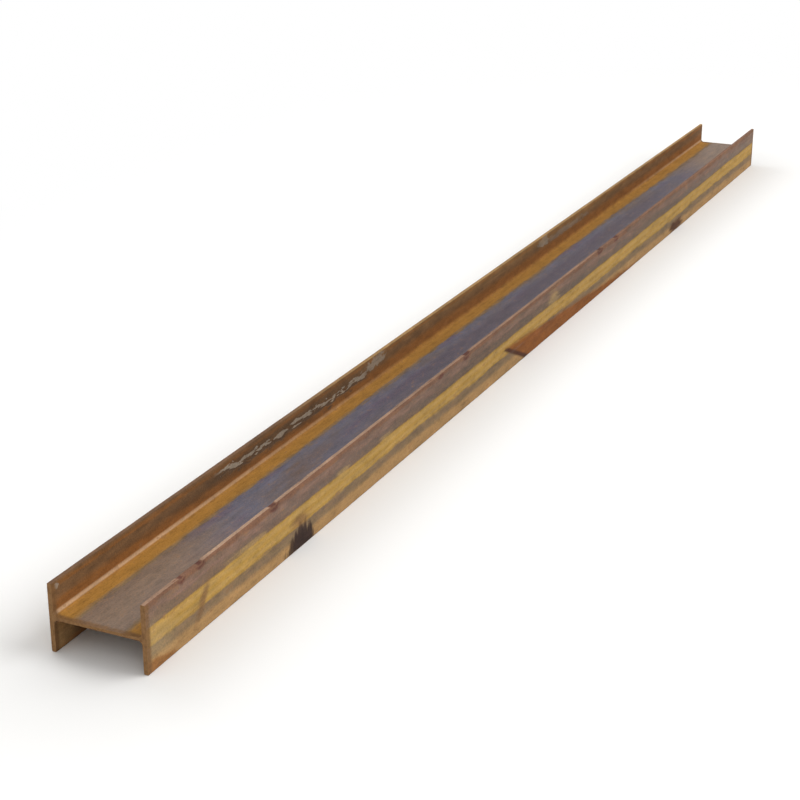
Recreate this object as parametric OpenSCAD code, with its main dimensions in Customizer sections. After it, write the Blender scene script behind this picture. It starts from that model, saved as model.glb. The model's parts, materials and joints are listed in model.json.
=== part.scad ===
/* [Section] */
// Depth of the section, over both flanges
depth = 298; // [200:1:600]
// Width of each flange, from toe to toe
flange_w = 201; // [100:1:320]
// Thickness of the web
web_t = 9; // [5:0.5:20]
// Thickness of each flange
flange_t = 14; // [7:0.5:30]
// Radius of the root fillets, where the web meets the flanges
root_r = 13; // [6:0.5:30]
// Radius that the rolls leave on the long edges of the toes
toe_r = 2; // [0.5:0.25:3]

/* [Length] */
// Length of the bar, between its two sawn ends
length = 6000; // [1000:100:15000]

/* [Hidden] */
$fn = 64;
// Colour of rolled steel with mill scale and a film of rust
rusted_steel = "#7d6047";
// Clear depth of the web, between the inner faces of the flanges
web_clear = depth - 2 * flange_t;
// Distance from the section's centre to the centre line of a flange
flange_at = (depth - flange_t) / 2;
// Height of the web's centre over the toes that the bar lies on
web_height = flange_w / 2;
// How far shapes that are fused or cut run past the edge between them
overlap = web_t / 3;
// The two sides of a plane of symmetry
sides = [0, 1];

// What an inside or outside corner of radius r differs by from a sharp one,
// with the corner at the origin and the arc's centre at [r, r]
module corner_profile(r) {
    difference() {
        translate([-overlap, -overlap])
            square(r + overlap);
        translate([r, r])
            circle(r);
    }
}

// One flange, drawn about its own centre with its four long edges rounded
module flange_profile() {
    difference() {
        square([flange_t, flange_w], center = true);
        for (across = sides, up = sides)
            mirror([across, 0])
                mirror([0, up])
                    translate([-flange_t / 2, -flange_w / 2])
                        corner_profile(toe_r);
    }
}

// The rolled section about its centre, with the web lying flat
module section_profile() {
    square([web_clear + 2 * overlap, web_t], center = true);
    for (across = sides)
        mirror([across, 0]) {
            translate([flange_at, 0])
                flange_profile();
            for (up = sides)
                mirror([0, up])
                    translate([-web_clear / 2, web_t / 2])
                        corner_profile(root_r);
        }
}

// The whole bar along X, lying on the lower toes of both flanges
module h_beam() {
    color(rusted_steel)
        translate([0, 0, web_height])
            rotate([90, 0, 90])
                linear_extrude(length, center = true)
                    section_profile();
}

h_beam();
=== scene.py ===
import json
import math
from functools import partial
import bmesh
import bpy
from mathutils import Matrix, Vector, noise


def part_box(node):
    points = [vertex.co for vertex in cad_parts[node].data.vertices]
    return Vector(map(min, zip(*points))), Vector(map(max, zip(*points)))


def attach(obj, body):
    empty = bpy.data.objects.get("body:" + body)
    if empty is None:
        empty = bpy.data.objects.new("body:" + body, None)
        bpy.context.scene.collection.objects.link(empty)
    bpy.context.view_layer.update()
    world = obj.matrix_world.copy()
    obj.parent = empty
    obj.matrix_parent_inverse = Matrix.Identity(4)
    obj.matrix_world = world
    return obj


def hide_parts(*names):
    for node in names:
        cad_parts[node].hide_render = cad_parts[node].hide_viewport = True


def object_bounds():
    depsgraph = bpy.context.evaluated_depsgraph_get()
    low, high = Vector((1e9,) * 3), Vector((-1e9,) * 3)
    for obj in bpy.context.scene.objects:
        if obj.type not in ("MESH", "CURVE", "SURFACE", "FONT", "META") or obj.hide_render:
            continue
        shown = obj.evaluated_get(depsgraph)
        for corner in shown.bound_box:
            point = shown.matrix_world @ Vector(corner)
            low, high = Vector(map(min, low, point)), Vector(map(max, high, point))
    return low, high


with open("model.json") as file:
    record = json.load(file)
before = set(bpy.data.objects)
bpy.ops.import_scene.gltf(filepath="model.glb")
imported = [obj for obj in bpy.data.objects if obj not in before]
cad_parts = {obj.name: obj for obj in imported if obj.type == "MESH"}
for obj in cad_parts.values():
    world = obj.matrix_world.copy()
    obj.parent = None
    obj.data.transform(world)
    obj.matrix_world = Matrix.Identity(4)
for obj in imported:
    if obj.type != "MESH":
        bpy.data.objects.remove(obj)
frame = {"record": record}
cadLow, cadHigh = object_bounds()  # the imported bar's own box
print("frame loaded", [round(side, 3) for side in cadHigh - cadLow])


def mountPlace(name):
    for mount in frame["record"]["mounts"]:
        if mount["name"] == name:
            return Vector(mount["pos_m"])
    raise ValueError("no mount named " + name)


# Sizes of the section, all from the frame
beamLow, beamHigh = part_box("h_beam")
length, depth, flangeWide = beamHigh - beamLow
webTop = mountPlace("web_upper_face").z
webThick = webTop - mountPlace("web_lower_face").z
webMid = webTop - webThick / 2
flangeThick = depth - 2 * abs(mountPlace("front_lower_toe").y)
webClear = depth - 2 * flangeThick
wallHigh = (flangeWide - webThick) / 2  # from the web's face to a toe
nearEnd = beamLow.x  # the sawn end that faces the camera
frontFace = -depth / 2
farWall = webClear / 2


def linear(hexColour, alpha=1.0):
    channels = []
    for start in (1, 3, 5):
        value = int(hexColour[start:start + 2], 16) / 255
        channels.append(value / 12.92 if value <= 0.04045 else ((value + 0.055) / 1.055) ** 2.4)
    return (*channels, alpha)


def addNode(tree, kind, settings=None, links=None):
    node = tree.nodes.new("ShaderNode" + kind)
    for name, value in (settings or {}).items():
        if name == "stops":  # a colour ramp: place, colour and cover of each stop
            ramp = node.color_ramp
            while len(ramp.elements) < len(value):
                ramp.elements.new(1.0)
            for element, (place, colour, cover) in zip(ramp.elements, value):
                element.position = place
                element.color = linear(colour, cover)
        elif isinstance(name, str) and name[0].islower():
            setattr(node, name, value)
        else:
            node.inputs[name].default_value = value
    for name, source in (links or {}).items():
        tree.links.new(source if hasattr(source, "is_linked") else source.outputs[0], node.inputs[name])
    return node


def newMaterial(name):
    material = bpy.data.materials.new(name)
    material.use_nodes = True
    material.node_tree.nodes.clear()
    return material, partial(addNode, material.node_tree)


# The bar itself

bar = {
    "rootRadius": 0.013,  # fillets between web and flanges
    "rootSteps": 6,
    "toeRadius": 0.002,  # rounding that the rolls leave on the toes
    "toeSteps": 3,
    "sawEdge": 0.0006,  # the file's touch along the sawn edges
    "wallCuts": 7,  # on each half of a flange face
    "webCuts": 5,  # on each half of the web
    "alongCuts": (74, 1),  # first on each half of the length, then on each piece of that
    "shortest": 0.01,  # edges along the bar that are no longer than this stay whole
    "closeUps": [  # stretches that are cut finer, m from the near end
        (0.0, 0.3),
        (0.6, 0.74),
        (0.8, 1.6),
        (1.98, 2.13),
        (3.42, 3.75),
    ],
    "closeMargin": 0.01,
    "closeCuts": 2,
    "smoothAngle": 35,  # degrees
}


def pick(shape, kind, test):  # selects the faces or edges that pass a test
    bpy.ops.mesh.select_all(action="DESELECT")
    bpy.ops.mesh.select_mode(type={"faces": "FACE", "edges": "EDGE"}[kind])
    mesh = bmesh.from_edit_mesh(shape.data)
    for item in getattr(mesh, kind):
        if test(item):
            item.select_set(True)
    mesh.select_flush_mode()
    bmesh.update_edit_mesh(shape.data)


def looks(face, axis, way):  # along an axis, forwards (1) or backwards (-1)
    return face.normal[axis] * way > 0.9


def onSawnEnd(face):  # an end, or the filed edge round it
    return abs(face.normal.x) > 0.6


def runsAlong(edge, axis, least):  # straight along an axis, and longer than the least
    step = edge.verts[1].co - edge.verts[0].co
    return abs(step[axis]) > least and abs(step[axis]) > 0.999 * step.length


def at(value, target):
    return abs(value - target) < 1e-5


def rollBar():
    bpy.ops.object.select_all(action="DESELECT")
    bpy.ops.mesh.primitive_cube_add(size=1, calc_uvs=False, location=(0, 0, webMid))
    shape = bpy.context.object
    shape.name = "rolled_bar"
    shape.scale = (length, webClear, webThick)
    bpy.ops.object.transform_apply(location=True, rotation=True, scale=True)
    bpy.ops.object.mode_set(mode="EDIT")

    def inFlange(face):
        return abs(face.calc_center_median().y) > farWall

    for side in (-1, 1):  # the web's edges grow into the flanges' middles
        pick(shape, "faces", lambda face: looks(face, 1, side))
        bpy.ops.mesh.extrude_region_move(TRANSFORM_OT_translate={"value": (0, side * flangeThick, 0)})
    for way in (-1, 1):  # and those grow up and down to the toes
        pick(shape, "faces", lambda face: looks(face, 2, way) and inFlange(face))
        bpy.ops.mesh.extrude_region_move(TRANSFORM_OT_translate={"value": (0, 0, way * wallHigh)})
    for end in (-1, 1):  # each end is one face before its corners are rounded
        pick(shape, "faces", lambda face: looks(face, 0, end))
        bpy.ops.mesh.dissolve_faces()

    def isRoot(edge):
        inCorner = all(
            at(abs(v.co.y), farWall) and at(abs(v.co.z - webMid), webThick / 2) for v in edge.verts
        )
        return inCorner and runsAlong(edge, 0, length / 2)

    def isToe(edge):
        onToe = all(at(abs(v.co.z - webMid), flangeWide / 2) for v in edge.verts)
        return onToe and runsAlong(edge, 0, length / 2)

    def isSawn(edge):  # between an end and a side
        return sorted(onSawnEnd(face) for face in edge.link_faces) == [False, True]

    pick(shape, "edges", isRoot)
    bpy.ops.mesh.bevel(offset=bar["rootRadius"], segments=bar["rootSteps"], profile=0.5, affect="EDGES")
    pick(shape, "edges", isToe)
    bpy.ops.mesh.bevel(offset=bar["toeRadius"], segments=bar["toeSteps"], profile=0.5, affect="EDGES")
    pick(shape, "edges", isSawn)
    bpy.ops.mesh.bevel(offset=bar["sawEdge"], segments=1, affect="EDGES")
    return shape


def cutForDetail(shape):
    for axis in range(3):  # lines on the three middles, where the map of the skin folds
        bpy.ops.mesh.select_all(action="SELECT")
        normal = [float(axis == other) for other in range(3)]
        bpy.ops.mesh.bisect(plane_co=(0, 0, webMid), plane_no=normal)
    pick(shape, "edges", lambda edge: runsAlong(edge, 2, wallHigh / 2))
    bpy.ops.mesh.subdivide(number_cuts=bar["wallCuts"])
    pick(shape, "edges", lambda edge: runsAlong(edge, 1, webClear / 4))
    bpy.ops.mesh.subdivide(number_cuts=bar["webCuts"])
    for cuts in bar["alongCuts"]:
        pick(shape, "edges", lambda edge: runsAlong(edge, 0, bar["shortest"]))
        bpy.ops.mesh.subdivide(number_cuts=cuts)

    def inCloseUp(edge):
        reach = [vertex.co.x - nearEnd for vertex in edge.verts]
        margin = bar["closeMargin"]
        return any(low - margin < min(reach) and max(reach) < high + margin for low, high in bar["closeUps"])

    pick(shape, "edges", lambda edge: runsAlong(edge, 0, bar["shortest"]) and inCloseUp(edge))
    bpy.ops.mesh.subdivide(number_cuts=bar["closeCuts"])


# Wear: dents in the toe that faces the camera, uneven toes all round, and a run of peeling
# scale on the far wall. Places are m from the near end, and up from the floor.

wear = {
    "dents": [  # place, half length and depth
        (0.176, 0.016, 0.0015),
        (0.223, 0.056, 0.0009),
        (0.268, 0.02, 0.0016),
        (0.668, 0.026, 0.0015),
        (2.067, 0.034, 0.0018),
        (3.483, 0.028, 0.0015),
        (3.691, 0.03, 0.0016),
    ],
    "dentReach": (0.010, 0.001),  # m below the toe's top where a dent starts, and where it is full
    "dentSlope": 0.6,  # share of its half length over which it deepens
    "unevenDepth": 0.0009,  # how far in a toe is pushed at most
    "unevenSize": 0.11,  # m along a toe from lump to lump
    "unevenReach": 0.012,  # how far from the toe's edge it starts
    "peelFrom": 0.8,
    "peelTo": 1.88,
    "peelFade": 0.08,  # m over which the run starts and ends
    "peelHeights": (0.178, 0.160),  # it drops from the first to the second over peelDrop
    "peelDrop": 0.3,
    "peelSway": (0.055, 0.007),  # length and reach of its bends
    "flakeSize": (0.05, 0.011),  # of the torn edges, along and up
    "flakeNoise": (1.0, 2.0, 3),  # how the noise of the edges falls off, its steps and their number
    "ribbonHigh": 0.0062,  # half the height of the scale that is left
    "ribbonTorn": (1.0, 2.2),  # how much of that is even, and how much the edges tear
    "ribbonSoft": 0.0012,
    "bareHigh": 0.015,  # half the height of what is bare round it
    "bareTorn": (0.8, 1.2),
    "bareSoft": 0.003,
    "bareBelow": 0.006,  # how far that lies below the scale
    "pitDepth": 0.0008,
    "plateLift": 0.0005,
    "peelCuts": 5,
    "cutMargin": 0.011,  # m past what is bare that is cut as well
}
deepestDent = max(deep for place, half, deep in wear["dents"])


def rise(value, low, high):  # a smooth step from 0 to 1
    share = min(1.0, max(0.0, (value - low) / (high - low)))
    return share * share * (3 - 2 * share)


def dentAt(point):
    starts, full = wear["dentReach"]
    onToe = rise(point.z, cadHigh.z - starts, cadHigh.z - full)
    if point.y > 0 or onToe == 0:
        return 0.0
    push = 0.0
    for place, half, deep in wear["dents"]:
        away = abs(point.x - nearEnd - place)
        push = max(push, deep / deepestDent * rise(half - away, 0, half * wear["dentSlope"]))
    return push * onToe


def unevenAt(point):
    toe = flangeWide / 2
    return rise(abs(point.z - webMid), toe - wear["unevenReach"], toe - bar["toeRadius"])


def peelLine(place):
    first, last = wear["peelHeights"]
    bend, sway = wear["peelSway"]
    drop = rise(place, wear["peelFrom"], wear["peelFrom"] + wear["peelDrop"])
    return first + drop * (last - first) + sway * noise.noise(Vector((place / bend, 0.5, 0.5)))


def peelAt(point):  # how much of a point is scale that is left, and how much is bare
    if not at(point.y, farWall):
        return 0.0, 0.0
    place = point.x - nearEnd
    inside = rise(place, wear["peelFrom"], wear["peelFrom"] + wear["peelFade"])
    inside *= 1 - rise(place, wear["peelTo"] - wear["peelFade"], wear["peelTo"])
    long, high = wear["flakeSize"]
    grain = noise.fractal(Vector((place / long, point.z / high, 0.0)), *wear["flakeNoise"])
    off = point.z - peelLine(place)
    even, torn = wear["ribbonTorn"]
    edge = wear["ribbonHigh"] * (even + torn * grain)
    left = 1 - rise(abs(off), edge - wear["ribbonSoft"], edge + wear["ribbonSoft"])
    even, torn = wear["bareTorn"]
    edge = wear["bareHigh"] * (even + torn * grain)
    bare = 1 - rise(abs(off + wear["bareBelow"]), edge - wear["bareSoft"], edge + wear["bareSoft"])
    return inside * left, inside * bare * (1 - left)


def plateAt(point):
    return peelAt(point)[0]


def pitAt(point):
    return peelAt(point)[1]


def pushIn(shape, name, weightAt, deep, texture=None):
    group = shape.vertex_groups.new(name=name)
    weights = [weightAt(vertex.co) for vertex in shape.data.vertices]
    for index, weight in enumerate(weights):
        if weight > 0:
            group.add([index], weight, "REPLACE")
    push = shape.modifiers.new(name, "DISPLACE")
    push.vertex_group = name
    push.mid_level = 0.0
    push.strength = -deep
    if texture:
        push.texture = texture
        push.texture_coords = "LOCAL"
    bpy.ops.object.modifier_apply(modifier=name)
    shape.vertex_groups.clear()
    record = shape.data.attributes.new(name, "FLOAT", "POINT")  # the steel's colour reads it
    record.data.foreach_set("value", weights)


def wearBar(shape):
    def isPeeling(face):
        middle = face.calc_center_median()
        place = middle.x - nearEnd
        inRun = wear["peelFrom"] < place < wear["peelTo"] and at(middle.y, farWall)
        off = abs(middle.z - peelLine(place) + wear["bareBelow"])
        return inRun and off < wear["bareHigh"] + wear["cutMargin"]

    pick(shape, "faces", isPeeling)
    bpy.ops.mesh.subdivide(number_cuts=wear["peelCuts"])
    bpy.ops.object.mode_set(mode="OBJECT")
    lumps = bpy.data.textures.new("uneven_toes", "CLOUDS")
    lumps.noise_scale = wear["unevenSize"]
    pushIn(shape, "uneven", unevenAt, wear["unevenDepth"], lumps)
    pushIn(shape, "dent", dentAt, deepestDent)
    pushIn(shape, "pits", pitAt, wear["pitDepth"])
    pushIn(shape, "plates", plateAt, -wear["plateLift"])
    bpy.ops.object.shade_smooth_by_angle(angle=math.radians(bar["smoothAngle"]))


# The skin's map: the bar's four quarters laid flat, each cut at mid length, and the two ends

skinMap = {
    "gap": 0.008,  # m between strips
    "endGap": 0.05,  # m between the two ends
    "endScale": 0.8,
}


def foldMap(shape):
    gap = skinMap["gap"]
    endScale = skinMap["endScale"]
    girth = farWall + wallHigh + flangeThick + flangeWide / 2  # round one quarter, along its sides
    strip = girth + gap
    stack = 8 * strip  # four quarters in two halves
    side = max(length / 2 + 2 * gap, stack + endScale * flangeWide)
    layer = shape.data.uv_layers.new(name="OFBake")
    vertices = shape.data.vertices
    loops = shape.data.loops
    for face in shape.data.polygons:
        middle = face.center
        far = middle.x > 0
        quarter = 2 * (middle.y > 0) + (middle.z > webMid)
        for index in face.loop_indices:
            point = vertices[loops[index].vertex_index].co
            offMid = abs(point.z - webMid)
            if onSawnEnd(face):
                across = gap + (point.y + depth / 2 + far * (depth + skinMap["endGap"])) * endScale
                over = stack + point.z * endScale
            else:
                across = gap + (point.x if far else point.x + length / 2)
                around = abs(point.y) + offMid - webThick / 2
                if abs(middle.y) > farWall + flangeThick / 2:
                    around = abs(point.y) + wallHigh + flangeWide / 2 - offMid
                over = (2 * quarter + far) * strip + around
            layer.data[index].uv = (across / side, (over + gap / 2) / side)


# Hot-rolled structural steel: blue-grey mill scale from the rolls, which lets ochre and brown
# rust through in long bands. The scale's blue and violet are partly a painted reflection of the sky.
# Dull all over, with a faint sheen where the scale is whole.

steel = {
    # blue and violet: mill scale, and partly a painted reflection of the sky
    "blueScaleAndSkySheen": "#646371",
    "violetScaleAndSkySheen": "#62576a",
    "greyScale": "#6b6264",
    "brownScale": "#6b533e",
    "lighterEndScale": "#7f6854",
    "rosyScale": "#836759",
    "deepScale": "#4d434f",
    "oldBrown": "#594431",
    "gold": "#ac8b4f",
    "oldOchre": "#a8833c",
    "ochre": "#a77834",
    "olive": "#806a4e",
    "tan": "#a27f52",
    "drip": "#a9936a",
    # painted highlight along each root fillet
    "filletHighlightTint": "#c09e7c",
    "rustBrown": "#8a5a2c",
    "umber": "#775738",
    "redBrown": "#795642",
    "edgeRust": "#71502f",
    "crust": "#562f26",
    # pale front toe: rubbed steel, and partly a painted highlight along its top
    "lip": "#a98a72",
    "brownLip": "#6e5038",
    "plate": "#988a79",
    "pit": "#5e4937",
    "darkFootTint": "#2f1e18",
    "slip": "#7f4713",
    "slipLine": "#482612",
    "specular": 0.25,  # rust is porous and hardly glints
    "noises": {  # mm along, across and up, and detail
        "wander": ((1100, 160, 160), 2),  # slow drift of the bands
        "ragged": ((80, 11, 11), 6),  # torn edges of the bands
        "runs": ((10, 70, 70), 4),  # where water ran down
        "streak": ((260, 7, 7), 5),  # drawn-out marks of the rolls
        "blotch": ((340, 60, 60), 5),  # patches of one tint of scale
        "cloud": ((85, 26, 26), 5),  # lighter and darker patches
        "chip": ((30, 13, 13), 6),  # flakes of scale that came off
        "speck": ((6, 5, 5), 6),  # pin-prick rust and grit
    },
    "drift": {"wander": 0.024, "ragged": 0.018, "runs": 0.006, "streak": 0.008},  # m a band's edge moves
    "shade": {"streak": 0.4, "cloud": 0.8, "chip": 0.6, "speck": 0.9},  # how much each lightens and darkens
    "coverTear": 1.0,  # how far the ragged noise breaks up the rust
    "coverSoft": 0.28,  # how soft the edges of its patches are
    "bleedTear": 0.02,  # m that the edge of the rust at the ends wanders
    "darkestPast": 0.4,  # m past the bar's middle, where the skin is darkest
    "faceDeep": 0.003,  # m behind an outer face that still get its colours
    "chipRelief": 0.6,  # as a share of the specks' relief
    "bumpStrength": 0.6,
    "bumpDepth": 0.0012,
    "markThick": 0.01,  # m that a mark reaches through the face it is on
}

# How the skin changes from place to place: where a change starts, where it is full, and how strong it is
fades = {
    # m off the bar's centre, to either side
    "onOuter": {"From Min": depth / 2 - steel["faceDeep"], "From Max": depth / 2 - 0.001},
    "deepWeb": {"From Min": 0.06, "From Max": 0.02, "To Max": 0.9},
    # m off mid height
    "onToe": {"From Min": flangeWide / 2 - 0.003, "From Max": flangeWide / 2 - 0.0012},
    # m off the point where the skin is darkest
    "sheltered": {"From Min": 3.0, "From Max": 1.2},
    # m off mid length
    "lighterEnds": {
        "interpolation_type": "SMOOTHSTEP",
        "From Min": length / 2 - 0.85,
        "From Max": length / 2 - 0.35,
        "To Max": 0.9,
    },
    "bledEnds": {"From Min": length / 2 - 0.022, "From Max": length / 2 - 0.011, "To Max": 0.88},
    # values of the cloud, chip and speck noises
    "chipPatches": {"From Min": 0.45, "From Max": 0.65, "To Max": 0.5},
    "chips": {"From Min": 0.56, "From Max": 0.62},
    "specks": {"From Min": 0.56, "From Max": 0.72, "To Max": 0.45},
    # from the ends to where the skin is darkest
    "brownOuter": {"To Min": 0.8, "To Max": 0.98},
    "darker": {"To Min": 1.0, "To Max": 0.84},
    # from scale to rust
    "rough": {"To Min": 0.52, "To Max": 0.86},
    "metal": {"To Min": 0.12, "To Max": 0.0},
}


def layCoordinates(add):  # the distances and noises that the finish is laid by
    place = add("TexCoord").outputs["Object"]
    along, across, up = add("SeparateXYZ", links={0: place}).outputs
    skin = {"place": place, "along": along, "across": across, "up": up}
    skin["offMiddle"] = add("Math", {"operation": "ABSOLUTE"}, {0: along})
    skin["offCentre"] = add("Math", {"operation": "ABSOLUTE"}, {0: across})
    offDarkest = add("Math", {"operation": "SUBTRACT", 1: steel["darkestPast"]}, {0: along})
    offDarkest = add("Math", {"operation": "ABSOLUTE"}, {0: offDarkest})
    skin["sheltered"] = add("MapRange", fades["sheltered"], {"Value": offDarkest})
    fromMid = add("Math", {"operation": "SUBTRACT", 1: webMid}, {0: up})
    offMid = add("Math", {"operation": "ABSOLUTE"}, {0: fromMid})
    aboveWeb = add("Math", {"operation": "SUBTRACT", 1: webThick / 2, "use_clamp": True}, {0: offMid})
    skin["climb"] = add("Math", {"operation": "ADD"}, {0: skin["offCentre"], 1: aboveWeb})
    skin["onOuter"] = add("MapRange", fades["onOuter"], {"Value": skin["offCentre"]})
    skin["onFront"] = add("Math", {"operation": "LESS_THAN", 1: frontFace + steel["faceDeep"]}, {0: across})
    skin["onBack"] = add("Math", {"operation": "GREATER_THAN", 1: 0.0}, {0: across})
    skin["onToe"] = add("MapRange", fades["onToe"], {"Value": offMid})
    for name, (sizes, detail) in steel["noises"].items():
        laid = add("Mapping", {"Scale": [1000 / size for size in sizes]}, {"Vector": place})
        skin[name] = add("TexNoise", {"Scale": 1.0, "Detail": detail}, {"Vector": laid})
    return skin


# Outer face of a flange from its lower toe (0) to its upper one (1): tint and cover of rust
outerBands = [
    (0.00, "tan", 1.0),
    (0.10, "tan", 0.85),
    (0.17, "tan", 0.75),
    (0.24, "olive", 0.65),
    (0.34, "olive", 0.6),
    (0.39, "oldOchre", 0.9),
    (0.43, "gold", 1.0),
    (0.50, "oldOchre", 0.95),
    (0.57, "gold", 1.0),
    (0.63, "oldOchre", 0.7),
    (0.67, "brownScale", 0.3),
    (0.77, "rosyScale", 0.3),
    (0.83, "rosyScale", 0.55),
    (0.90, "rosyScale", 0.5),
    (0.94, "redBrown", 0.6),
    (0.97, "redBrown", 0.75),
]

# Channel between the flanges, from the middle of the web (0) to a flange's toe (1)
channelBands = [
    (0.00, "olive", 0.0),
    (0.28, "olive", 0.1),
    (0.34, "olive", 0.6),
    (0.40, "ochre", 1.0),
    (0.54, "ochre", 1.0),
    (0.66, "rustBrown", 1.0),
    (0.74, "rustBrown", 1.0),
    (0.82, "umber", 0.95),
    (0.91, "umber", 0.9),
    # the lighter rustBrown band just under the toe is rust, and partly a painted highlight spilling from the
    # toe
    (0.95, "rustBrown", 0.9),
    (0.99, "umber", 0.8),
]


def tinted(bands):  # names of tints become their colours
    return [(place, steel[tint], cover) for place, tint, cover in bands]


def layBands(add, skin, coordinate, reach, bands):
    for name, move in steel["drift"].items():
        shift = add("Math", {"operation": "MULTIPLY_ADD", 1: move, 2: -move / 2}, {0: skin[name]})
        coordinate = add("Math", {"operation": "ADD"}, {0: coordinate, 1: shift})
    share = add("MapRange", {"From Max": reach}, {"Value": coordinate})
    return add("ValToRGB", {"stops": tinted(bands)}, {0: share})


# A painted highlight: the pale line that runs straight along each root fillet, where it meets the wall
filletHighlight = {
    "above": 0.008,  # m past the corner of web and wall, measured over both
    "fade": {"From Min": 0.009, "From Max": 0.0036, "To Max": 0.92},  # m off its middle
}


def paintFilletHighlight(add, skin, colour):
    off = add("Math", {"operation": "SUBTRACT", 1: farWall + filletHighlight["above"]}, {0: skin["climb"]})
    off = add("Math", {"operation": "ABSOLUTE"}, {0: off})
    line = add("MapRange", filletHighlight["fade"], {"Value": off})
    awayFromDarkest = add("Math", {"operation": "SUBTRACT", 0: 1.0}, {1: skin["sheltered"]})
    line = add("Math", {"operation": "MULTIPLY"}, {0: line, 1: awayFromDarkest})
    return add("MixRGB", {2: linear(steel["filletHighlightTint"])}, {0: line, 1: colour})


def tearCover(add, skin, cover):  # an even cover of rust becomes patches
    tear = steel["coverTear"]
    soft = steel["coverSoft"]
    torn = add("Math", {"operation": "MULTIPLY_ADD", 1: tear, 2: -tear / 2}, {0: skin["ragged"]})
    summed = add("Math", {"operation": "ADD"}, {0: cover, 1: torn})
    edges = {"interpolation_type": "SMOOTHSTEP", "From Min": 0.5 - soft, "From Max": 0.5 + soft}
    return add("MapRange", edges, {"Value": summed})


# Tints of the scale, by the value of the blotch noise; its blue and violet are partly a painted reflection of
# the sky
scaleTints = [
    (0.34, "violetScaleAndSkySheen", 1.0),
    (0.45, "blueScaleAndSkySheen", 1.0),
    (0.58, "greyScale", 1.0),
    (0.77, "brownScale", 1.0),
]


def layScale(add, skin):  # blue and violet along the web, browner on the outer faces and near the ends
    scale = add("ValToRGB", {"stops": tinted(scaleTints)}, {0: skin["blotch"]})
    deep = add("MapRange", fades["deepWeb"], {"Value": skin["offCentre"]})
    deep = add("Math", {"operation": "MULTIPLY"}, {0: deep, 1: skin["sheltered"]})
    scale = add("MixRGB", {2: linear(steel["deepScale"])}, {0: deep, 1: scale})
    endward = add("MapRange", fades["lighterEnds"], {"Value": skin["offMiddle"]})
    scale = add("MixRGB", {2: linear(steel["lighterEndScale"])}, {0: endward, 1: scale})
    tints = {1: linear(steel["brownScale"]), 2: linear(steel["oldBrown"])}
    brown = add("MixRGB", tints, {0: skin["sheltered"]})
    outside = add("MapRange", fades["brownOuter"], {"Value": skin["sheltered"]})
    outside = add("Math", {"operation": "MULTIPLY"}, {0: outside, 1: skin["onOuter"]})
    return add("MixRGB", links={0: outside, 1: scale, 2: brown})


def layChips(add, skin, colour):  # chips where the scale came off, in patches, and specks of brown
    patchy = add("MapRange", fades["chipPatches"], {"Value": skin["cloud"]})
    chips = add("MapRange", fades["chips"], {"Value": skin["chip"]})
    chipped = add("Math", {"operation": "MULTIPLY"}, {0: chips, 1: patchy})
    colour = add("MixRGB", {2: linear(steel["umber"])}, {0: chipped, 1: colour})
    specked = add("MapRange", fades["specks"], {"Value": skin["speck"]})
    return add("MixRGB", {2: linear(steel["rustBrown"])}, {0: specked, 1: colour})


# Bruises of the front face below the deeper dents
bruise = {"deeperThan": 0.001, "below": 0.008, "halfHigh": 0.013}  # m
bruises = [
    (place, flangeWide - bruise["below"], half, bruise["halfHigh"], 0)
    for place, half, deep in wear["dents"]
    if deep > bruise["deeperThan"]
]
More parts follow.
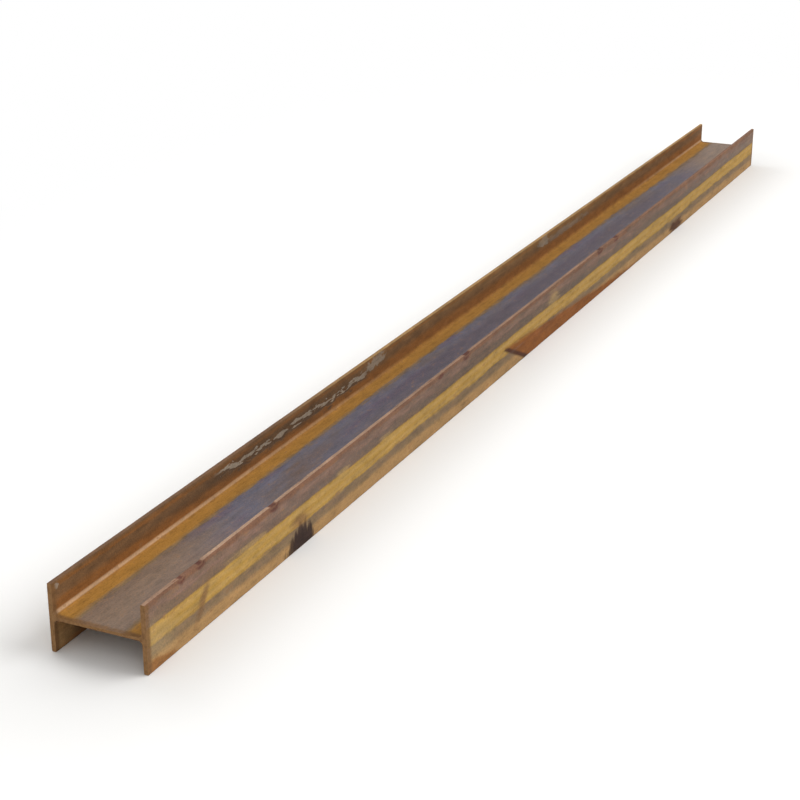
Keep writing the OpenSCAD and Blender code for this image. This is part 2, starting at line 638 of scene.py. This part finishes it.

# Marks of weather and handling on the front face and on the far wall of the channel, dark patches at
# the foot of the front face, and painted light under the web. Each place is m from the near end, m up,
# half its length, half its height and its tilt in degrees.
marks = {
    "paleEnd": {
        "across": frontFace, "tint": "drip", "strength": 0.3, "edge": "cloud", "tear": 2.0, "soft": 0.6,
        "places": [(0.03, 0.065, 0.09, 0.075, 0)],
    },
    "cornerRust": {
        "across": frontFace, "tint": "rustBrown", "strength": 0.85, "edge": "cloud", "tear": 1.6, "soft": 0.3,
        "places": [(0.0, 0.0, 0.13, 0.04, 0)],
    },
    # painted light: lighter tan on the far wall below the web at the near end, where light reaches in
    "paintedLightFoot": {
        "across": farWall, "tint": "tan", "strength": 0.7, "edge": "cloud", "tear": 2.0, "soft": 0.5,
        "places": [(0.02, 0.04, 0.07, 0.05, 0)],
    },
    "darkFoot": {  # a dark foot and four tongues
        "across": frontFace, "tint": "darkFootTint", "strength": 0.92, "edge": "runs", "tear": 1.1, "soft": 0.24,
        "places": [
            (0.822, 0.0, 0.088, 0.05, 0),
            (0.794, 0.01, 0.016, 0.056, 0),
            (0.82, 0.02, 0.016, 0.068, 0),
            (0.85, 0.015, 0.017, 0.062, 0),
            (0.878, 0.0, 0.016, 0.062, 0),
        ],
    },
    "darkPatch": {
        "across": frontFace, "tint": "slipLine", "strength": 0.95, "edge": "ragged", "tear": 1.4, "soft": 0.4,
        "places": [(4.585, 0.024, 0.095, 0.027, 0)],
    },
    "splash": {
        "across": frontFace, "tint": "gold", "strength": 0.5, "edge": "ragged", "tear": 3.0, "soft": 0.7,
        "places": [(2.93, 0.15, 0.05, 0.028, 0)],
    },
    "lick": {
        "across": frontFace, "tint": "gold", "strength": 0.5, "edge": "ragged", "tear": 3.0, "soft": 0.6,
        "places": [(0.51, 0.136, 0.09, 0.01, 0), (1.1, 0.133, 0.035, 0.01, 0), (1.4, 0.132, 0.045, 0.009, 0)],
    },
    "rub": {
        "across": frontFace, "tint": "umber", "strength": 0.8, "edge": "cloud", "tear": 2.0, "soft": 0.7,
        "places": [(0.273, 0.083, 0.015, 0.068, 32), (0.825, 0.088, 0.05, 0.02, 0)],
    },
    "bruise": {  # below the deeper dents, and one without a dent
        "across": frontFace, "tint": "crust", "strength": 0.8, "edge": "chip", "tear": 1.2, "soft": 0.4,
        "places": [*bruises, (1.84, 0.191, 0.022, 0.008, 0)],
    },
    "darkRun": {
        "across": farWall, "tint": "oldBrown", "strength": 0.6, "edge": "cloud", "tear": 1.2, "soft": 0.6,
        "places": [(1.2, 0.162, 0.7, 0.03, 0)],
    },
    "looseScale": {
        "across": farWall, "tint": "plate", "strength": 0.8, "edge": "chip", "tear": 3.0, "soft": 0.25,
        "places": [
            (1.915, 0.176, 0.075, 0.018, -3),
            (0.02, 0.186, 0.008, 0.007, 0),
            (3.57, 0.178, 0.05, 0.02, 0),
        ],
    },
    "paleTop": {
        "across": farWall, "tint": "tan", "strength": 0.28, "edge": "ragged", "tear": 1.2, "soft": 0.6,
        "places": [(3.5, 0.19, 1.3, 0.02, 0)],
    },
    "paleScale": {
        "across": farWall, "tint": "plate", "strength": 0.5, "edge": "chip", "tear": 3.0, "soft": 0.5,
        "places": [(3.85, 0.165, 0.24, 0.012, 0)],
    },
}


def layMarks(add, skin, colour):
    for mark in marks.values():
        tear = mark["tear"]
        soft = mark["soft"]
        torn = add("Math", {"operation": "MULTIPLY_ADD", 1: tear, 2: -tear / 2}, {0: skin[mark["edge"]]})
        for along, up, halfLong, halfHigh, tilt in mark["places"]:
            frameOfMark = {
                "vector_type": "TEXTURE",
                "Location": (nearEnd + along, mark["across"], up),
                "Rotation": (0, math.radians(tilt), 0),
                "Scale": (halfLong, steel["markThick"], halfHigh),
            }
            laid = add("Mapping", frameOfMark, {"Vector": skin["place"]})
            away = add("VectorMath", {"operation": "LENGTH"}, {0: laid}).outputs["Value"]
            edge = add("Math", {"operation": "ADD"}, {0: away, 1: torn})
            fade = {
                "interpolation_type": "SMOOTHSTEP",
                "From Min": 1 - soft,
                "From Max": 1 + soft,
                "To Min": mark["strength"],
                "To Max": 0.0,
            }
            mask = add("MapRange", fade, {"Value": edge})
            colour = add("MixRGB", {2: linear(steel[mark["tint"]])}, {0: mask, 1: colour})
    return colour


# A red slip that starts at a slanted dark line on the front face and thins out along the lower toe.
# Its corners are m from the near end and m up.
slip = {
    "top": (2.423, 0.100),
    "foot": (2.619, 0.013),
    "tail": (3.85, 0.012),
    "tear": 0.03,
    "redPast": {"From Min": -0.002, "From Max": 0.003, "To Max": 0.92},  # m past the dark line
    "redUnder": {"From Min": -0.008, "From Max": 0.008},  # m below the slip's upper edge
    "line": {"From Min": 0.013, "From Max": 0.013 / 3},  # m off the dark line
    "lineUnder": {"From Max": 0.006},  # m below the slip's upper edge
}


def pastLine(add, skin, start, stop):  # m past a line on the front face, on its right as it is drawn
    way = Vector((stop[0] - start[0], stop[1] - start[1])).normalized()
    normal = (way.y, 0, -way.x)
    offset = normal[0] * (nearEnd + start[0]) + normal[2] * start[1]
    reach = add("VectorMath", {"operation": "DOT_PRODUCT", 1: normal}, {0: skin["place"]}).outputs["Value"]
    return add("Math", {"operation": "SUBTRACT", 1: offset}, {0: reach})


def laySlip(add, skin, colour):
    tear = slip["tear"]
    past = pastLine(add, skin, slip["foot"], slip["top"])
    under = pastLine(add, skin, slip["top"], slip["tail"])
    torn = add("Math", {"operation": "MULTIPLY_ADD", 1: tear, 2: -tear / 2}, {0: skin["ragged"]})
    under = add("Math", {"operation": "ADD"}, {0: under, 1: torn})
    off = add("Math", {"operation": "ABSOLUTE"}, {0: past})
    parts = [("slip", "redPast", past, "redUnder"), ("slipLine", "line", off, "lineUnder")]
    for tint, reach, value, below in parts:
        cover = add("MapRange", slip[reach], {"Value": value})
        lower = add("MapRange", slip[below], {"Value": under})
        cover = add("Math", {"operation": "MULTIPLY"}, {0: cover, 1: lower})
        cover = add("Math", {"operation": "MULTIPLY"}, {0: cover, 1: skin["onFront"]})
        colour = add("MixRGB", {2: linear(steel[tint])}, {0: cover, 1: colour})
    return colour


def bleedEnds(add, skin, colour):  # the sawn ends bleed rust a little way along the skin
    tear = steel["bleedTear"]
    torn = add("Math", {"operation": "MULTIPLY_ADD", 1: tear, 2: -tear / 2}, {0: skin["cloud"]})
    toEnd = add("Math", {"operation": "ADD"}, {0: skin["offMiddle"], 1: torn})
    bled = add("MapRange", fades["bledEnds"], {"Value": toEnd})
    return add("MixRGB", {2: linear(steel["edgeRust"])}, {0: bled, 1: colour})


# The toes' lips: pale on the front flange, rubbed and partly a painted highlight along its top,
# brown and then tan on the back one, and dark where the front one is dented
toes = {
    "front": [(0.30, "redBrown", 1.0), (0.38, "lip", 1.0)],  # by the value of the ragged noise
    "dullTowardDarkest": 0.5,
    "dullFar": {"From Min": nearEnd + 2.7, "From Max": nearEnd + 3.6, "To Max": 0.85},  # m along
    "dullNear": {"From Min": nearEnd + 0.34, "From Max": nearEnd + 0.24, "To Max": 0.4},
    "dullEdge": {"From Min": depth / 2 - 0.0035, "From Max": depth / 2 - 0.001},  # m off the bar's centre
    "backTan": {"From Min": nearEnd + 1.2, "From Max": nearEnd + 1.8},  # m along
    "bruised": {"From Min": 0.1, "From Max": 0.4, "To Max": 0.9},  # share of the deepest dent
    "crusted": {"From Min": 0.45, "From Max": 0.85, "To Max": 0.85},
}


def layToes(add, skin, colour):
    lip = add("ValToRGB", {"stops": tinted(toes["front"])}, {0: skin["ragged"]})
    duller = add("Math", {"operation": "MULTIPLY", 1: toes["dullTowardDarkest"]}, {0: skin["sheltered"]})
    for name, value in (("dullFar", "along"), ("dullNear", "along"), ("dullEdge", "offCentre")):
        dull = add("MapRange", toes[name], {"Value": skin[value]})
        duller = add("Math", {"operation": "MAXIMUM"}, {0: duller, 1: dull})
    lip = add("MixRGB", {2: linear(steel["redBrown"])}, {0: duller, 1: lip})
    farther = add("MapRange", toes["backTan"], {"Value": skin["along"]})
    backLip = add("MixRGB", {1: linear(steel["brownLip"]), 2: linear(steel["tan"])}, {0: farther})
    lip = add("MixRGB", links={0: skin["onBack"], 1: lip, 2: backLip})
    colour = add("MixRGB", links={0: skin["onToe"], 1: colour, 2: lip})
    dent = add("Attribute", {"attribute_name": "dent"}).outputs["Fac"]
    for name, tint in (("bruised", "redBrown"), ("crusted", "crust")):
        cover = add("MapRange", toes[name], {"Value": dent})
        colour = add("MixRGB", {2: linear(steel[tint])}, {0: cover, 1: colour})
    return colour


def layPeel(add, colour):  # the scale that is left on the peeling run, and the dark pits round it
    for name, tint in (("plates", "plate"), ("pits", "pit")):
        amount = add("Attribute", {"attribute_name": name}).outputs["Fac"]
        colour = add("MixRGB", {2: linear(steel[tint])}, {0: amount, 1: colour})
    return colour


def layShade(add, skin, colour):  # lighter and darker metal
    shade = None
    level = 1 - sum(steel["shade"].values()) / 2  # so that the mean stays at 1
    for name, amount in steel["shade"].items():
        links = {0: skin[name], 2: shade} if shade else {0: skin[name]}
        shade = add("Math", {"operation": "MULTIPLY_ADD", 1: amount, 2: level}, links)
    darker = add("MapRange", fades["darker"], {"Value": skin["sheltered"]})
    shade = add("Math", {"operation": "MULTIPLY"}, {0: shade, 1: darker})
    return add("MixRGB", {"blend_type": "MULTIPLY", 0: 1.0}, {1: colour, 2: shade})


def hotRolledSteel():
    material, add = newMaterial("hot_rolled_mill_scale_and_rust")
    skin = layCoordinates(add)
    outer = layBands(add, skin, skin["up"], flangeWide, outerBands)
    channel = layBands(add, skin, skin["climb"], farWall + wallHigh, channelBands)
    inner = paintFilletHighlight(add, skin, channel.outputs["Color"])
    bands = add("MixRGB", links={0: skin["onOuter"], 1: inner, 2: outer.outputs["Color"]})
    covers = {0: skin["onOuter"], 2: channel.outputs["Alpha"], 3: outer.outputs["Alpha"]}
    rusted = tearCover(add, skin, add("Mix", {"data_type": "FLOAT"}, covers))
    colour = add("MixRGB", links={0: rusted, 1: layScale(add, skin), 2: bands})
    colour = layChips(add, skin, colour)
    colour = layMarks(add, skin, colour)
    colour = laySlip(add, skin, colour)
    colour = bleedEnds(add, skin, colour)
    colour = layToes(add, skin, colour)
    colour = layPeel(add, colour)
    colour = layShade(add, skin, colour)

    rough = add("MapRange", fades["rough"], {"Value": rusted})
    metal = add("MapRange", fades["metal"], {"Value": rusted})
    chipped = {"operation": "MULTIPLY_ADD", 1: steel["chipRelief"]}
    relief = add("Math", chipped, {0: skin["chip"], 2: skin["speck"]})
    grit = {"Strength": steel["bumpStrength"], "Distance": steel["bumpDepth"]}
    bump = add("Bump", grit, {"Height": relief})
    shader = add("BsdfPrincipled", {"Specular IOR Level": steel["specular"]},
                 {"Base Color": colour, "Roughness": rough, "Metallic": metal, "Normal": bump})
    add("OutputMaterial", links={"Surface": shader})
    return material


# Sawn ends: bare steel where the hot saw went through, since rusted an even brown. The blade's
# sweep shows as faint arcs.

sawn = {
    "tints": [(0.30, "#6d4d30", 1.0), (0.50, "#83603b", 1.0), (0.76, "#8f6b46", 1.0)],
    "arcSpacing": 4.0,  # mm; the real marks are under 1 mm and would not show
    "arcWobble": 3.0,
    "arcDetail": 3.0,
    "arcDetailScale": 0.6,
    "arcShare": 0.05,  # how much the arcs add to the blotches
    "bladeCentre": (0.25, -0.75),  # m across and up from the section's middle
    "blotchSize": 9,  # mm
    "blotchDetail": 6.0,
    "bumpStrength": 0.5,
    "bumpDepth": 0.0006,
    "rough": 0.85,
    "specular": 0.25,
}


def sawnSteel():
    material, add = newMaterial("hot_sawn_steel_rusted")
    place = add("TexCoord").outputs["Object"]
    across, up = sawn["bladeCentre"]
    swept = add("Mapping", {"Location": (0, -across, -up - webMid)}, {"Vector": place})
    rings = {
        "wave_type": "RINGS",
        "rings_direction": "X",
        "Scale": math.pi / 10 * 1000 / sawn["arcSpacing"],  # a wave of scale 1 is pi / 10 m long
        "Distortion": sawn["arcWobble"],
        "Detail": sawn["arcDetail"],
        "Detail Scale": sawn["arcDetailScale"],
    }
    arcs = add("TexWave", rings, {"Vector": swept})
    patches = {"Scale": 1000 / sawn["blotchSize"], "Detail": sawn["blotchDetail"]}
    blotches = add("TexNoise", patches, {"Vector": place})
    faint = {"operation": "MULTIPLY_ADD", 1: sawn["arcShare"]}
    mottle = add("Math", faint, {0: arcs.outputs["Fac"], 2: blotches})
    colour = add("ValToRGB", {"stops": sawn["tints"]}, {0: mottle})
    bump = add("Bump", {"Strength": sawn["bumpStrength"], "Distance": sawn["bumpDepth"]}, {"Height": mottle})
    shader = add("BsdfPrincipled", {"Roughness": sawn["rough"], "Specular IOR Level": sawn["specular"]},
                 {"Base Color": colour, "Normal": bump})
    add("OutputMaterial", links={"Surface": shader})
    return material


def coatBar(shape):
    shape.data.materials.append(hotRolledSteel())
    shape.data.materials.append(sawnSteel())
    for face in shape.data.polygons:
        face.material_index = int(onSawnEnd(face))


rolledBar = rollBar()
cutForDetail(rolledBar)
wearBar(rolledBar)
foldMap(rolledBar)
print("bar rolled", len(rolledBar.data.polygons), "faces")
coatBar(rolledBar)
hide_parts("h_beam")
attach(rolledBar, "root")
print("steel on the bar")


# Pale floor, white surroundings and soft light

studio = {
    "floorSize": 160.0,
    "floorColour": "#f1f0ee",
    "floorRough": 0.9,
    "floorLift": 0.16,  # what the camera sees on top of the lit floor, so that it is white away from the bar
    "fadeFrom": 0.7,  # m from the bar, where the floor starts to turn white
    "fadeTo": 3.0,
    "ambient": 0.58,
    "lamps": {  # place, size and power
        "key": ((1.0, -6.0, 7.0), 7.0, 540.0),
        "fill": ((-7.0, -3.0, 4.0), 5.0, 70.0),
        "rim": ((2.0, 7.0, 6.0), 6.0, 160.0),
    },
}


def seenDirectly(add):
    rays = add("LightPath").outputs
    looked = add("Math", {"operation": "ADD"}, {0: rays["Is Camera Ray"], 1: rays["Is Glossy Ray"]})
    return add("Math", {"operation": "ADD", "use_clamp": True}, {0: looked, 1: rays["Is Transmission Ray"]})


def paleFloor():
    bpy.ops.object.select_all(action="DESELECT")
    bpy.ops.mesh.primitive_plane_add(size=studio["floorSize"], location=(0, 0, cadLow.z))
    floor = bpy.context.object
    floor.name = "floor"
    material, add = newMaterial("pale_floor")
    looked = seenDirectly(add)
    place = add("SeparateXYZ", links={0: add("TexCoord").outputs["Object"]}).outputs
    offMiddle = add("Math", {"operation": "ABSOLUTE"}, {0: place["X"]})
    pastEnd = add("Math", {"operation": "SUBTRACT", 1: length / 2}, {0: offMiddle})
    pastEnd = add("Math", {"operation": "MAXIMUM", 1: 0.0}, {0: pastEnd})
    apart = add("CombineXYZ", links={0: pastEnd, 1: place["Y"]})
    away = add("VectorMath", {"operation": "LENGTH"}, {0: apart}).outputs["Value"]
    paint = {"Base Color": linear(studio["floorColour"]), "Roughness": studio["floorRough"]}
    pale = add("BsdfPrincipled", paint)
    # Painted shade: the lift is left out close to the bar, so the floor shows darker round and under it
    shadeNearBar = {"From Min": depth / 2, "From Max": studio["fadeFrom"], "To Max": studio["floorLift"]}
    lift = add("MapRange", shadeNearBar, {"Value": away})
    lift = add("Math", {"operation": "MULTIPLY"}, {0: lift, 1: looked})
    lifted = add("AddShader", links={0: pale, 1: add("Emission", links={"Strength": lift})})
    white = add("Emission", {"Strength": 1.0})
    farther = {
        "interpolation_type": "SMOOTHSTEP",
        "From Min": studio["fadeFrom"],
        "From Max": studio["fadeTo"],
    }
    fade = add("MapRange", farther, {"Value": away})
    share = add("Math", {"operation": "MULTIPLY"}, {0: fade, 1: looked})
    mixed = add("MixShader", links={0: share, 1: lifted, 2: white})
    add("OutputMaterial", links={"Surface": mixed})
    floor.data.materials.append(material)


def whiteWorld():
    world = bpy.data.worlds.new("studio")
    world.use_nodes = True
    world.node_tree.nodes.clear()
    add = partial(addNode, world.node_tree)
    strength = add("MapRange", {"To Min": studio["ambient"], "To Max": 1.0}, {"Value": seenDirectly(add)})
    sky = add("Background", {"Color": (1, 1, 1, 1)}, {"Strength": strength})
    add("OutputWorld", links={"Surface": sky})
    bpy.context.scene.world = world


def hangLamps():
    for name, (place, size, power) in studio["lamps"].items():
        bpy.ops.object.light_add(type="AREA", location=place)
        lamp = bpy.context.object
        lamp.name = name + "_lamp"
        lamp.data.size = size
        lamp.data.energy = power
        lamp.rotation_euler = (-Vector(place)).to_track_quat("-Z", "Y").to_euler()


paleFloor()
whiteWorld()
hangLamps()
print("studio lit")


# Camera at the photo's viewpoint, turned to the bar

view = {
    "stand": (-3.27, -2.39, 2.285),  # m from the foot of the near sawn end
    "aim": (-0.977, 0.092, 0.0),  # point on the floor in the middle of the picture
    "sensor": 36.0,  # mm
    "lens": 79.0,  # mm
}


def setCamera():
    data = bpy.data.cameras.new("camera")
    data.sensor_width = view["sensor"]
    data.lens = view["lens"]
    camera = bpy.data.objects.new("camera", data)
    bpy.context.scene.collection.objects.link(camera)
    camera.location = Vector((nearEnd, 0, 0)) + Vector(view["stand"])
    camera.rotation_euler = (Vector(view["aim"]) - camera.location).to_track_quat("-Z", "Y").to_euler()
    bpy.context.scene.camera = camera


setCamera()
bpy.context.scene.view_settings.view_transform = "Standard"
print("camera set")
